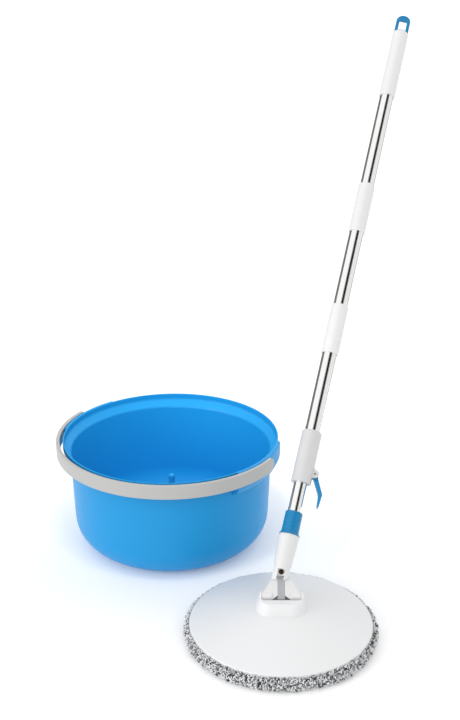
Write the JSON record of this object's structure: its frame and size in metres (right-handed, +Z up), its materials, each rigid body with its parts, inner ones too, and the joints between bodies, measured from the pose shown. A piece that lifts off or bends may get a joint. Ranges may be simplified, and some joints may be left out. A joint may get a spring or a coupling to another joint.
{
  "type": "spin mop set",
  "caption": "Round blue bucket with swing bail and spin post, and a telescopic push-to-spin mop with tilting round head and microfibre pad.",
  "frame": {"origin": "centre of the bucket's base, on the floor", "axes": "+Z up; +Y towards the back, where the mop's pole leans; +X to the right"},
  "size_m": [0.629, 0.8425, 0.8618],
  "materials": {
    "bucket_blue": "smooth satin moulded",
    "blue_plastic": "glossy moulded",
    "bail_grey": "satin moulded",
    "white_plastic": "smooth gloss moulded",
    "grey_plastic": "matte moulded",
    "nylon": "natural, machined",
    "chrome": "polished tube",
    "steel": "bright drawn",
    "dark_steel": "dark oxidised rivet",
    "microfibre": "loop pile, mixed grey and white",
    "hook_tape": "hook tape"
  },
  "bodies": {
    "bucket": {"bucket_shell": "bucket_blue", "post_cone": "bucket_blue", "post_pin": "steel"},
    "bail": {"bail_strap": "bail_grey", "bail_studs": "bail_grey"},
    "post_cap": {"post_cap": "bucket_blue"},
    "mop_head": {"head_plate": "white_plastic", "base_disc": "grey_plastic", "base_screws": "steel", "drive_socket": "nylon", "hook_rings": "hook_tape", "hinge_pins": "steel"},
    "pad": {"pad_fibre": "microfibre", "pad_backing": "grey_plastic"},
    "link": {"link_frame": "white_plastic", "link_rib": "grey_plastic"},
    "lower_pole": {"cone_socket": "white_plastic", "knuckle_pin": "dark_steel", "lower_tube": "chrome", "clutch_housing": "nylon", "clutch_ring": "nylon", "drive_nut": "nylon"},
    "collar": {"lock_collar": "blue_plastic"},
    "guide": {"guide_bush": "nylon"},
    "upper_pole": {"clamp_body": "white_plastic", "lever_pin": "steel", "tube_1": "chrome", "tube_2": "chrome", "tube_3": "chrome", "joiner_1": "grey_plastic", "joiner_2": "grey_plastic", "twist_rod": "steel", "rod_pin": "steel", "joint_sleeve_1": "white_plastic", "joint_sleeve_2": "white_plastic", "top_grip": "white_plastic", "hanger_cap": "blue_plastic"},
    "lever": {"clamp_lever": "blue_plastic"}
  },
  "joints": [
    {"name": "bail_swing", "type": "hinge", "parent": "bucket", "child": "bail", "pos_m": [0, 0, 0.1815], "axis": [-0.866, 0.5, 0], "range_deg": [0, 180]},
    {"name": "post_spin", "type": "hinge", "parent": "bucket", "child": "post_cap", "pos_m": [0, 0, 0.105], "axis": [0, 0, 1], "continuous": true},
    {"name": "mop_lift", "type": "slide", "parent": "bucket", "child": "mop_head", "axis": [0, 0, 1], "range_m": [0, 0.25]},
    {"name": "pad_release", "type": "slide", "parent": "mop_head", "child": "pad", "axis": [0, 0, -1], "range_m": [0, 0.03]},
    {"name": "head_tilt", "type": "hinge", "parent": "mop_head", "child": "link", "pos_m": [0.1805, -0.313, 0.0664], "axis": [1, 0, 0], "range_deg": [-19, 101]},
    {"name": "side_tilt", "type": "hinge", "parent": "link", "child": "lower_pole", "pos_m": [0.1805, -0.28974, 0.09315], "axis": [0, -0.7547, 0.6561], "range_deg": [-20.63, 47.37]},
    {"name": "collar_turn", "type": "hinge", "parent": "lower_pole", "child": "collar", "pos_m": [0.1805, -0.28974, 0.09315], "axis": [0.2312, 0.6383, 0.7343], "range_deg": [0, 90]},
    {"name": "telescope", "type": "slide", "parent": "lower_pole", "child": "guide", "axis": [0.2312, 0.6383, 0.7343], "range_m": [-0.045, 0.12]},
    {"name": "spin", "type": "hinge", "parent": "guide", "child": "upper_pole", "pos_m": [0.1805, -0.28974, 0.09315], "axis": [0.2312, 0.6383, 0.7343], "range_deg": [-162.5, 432.5]},
    {"name": "lever_swing", "type": "hinge", "parent": "upper_pole", "child": "lever", "pos_m": [0.2361, -0.18876, 0.20932], "axis": [0, -0.7547, 0.6561], "range_deg": [-12, 75]}
  ],
  "couplings": [
    {"joint": "spin", "follows": "telescope", "rad_per_m": 62.832}
  ]
}
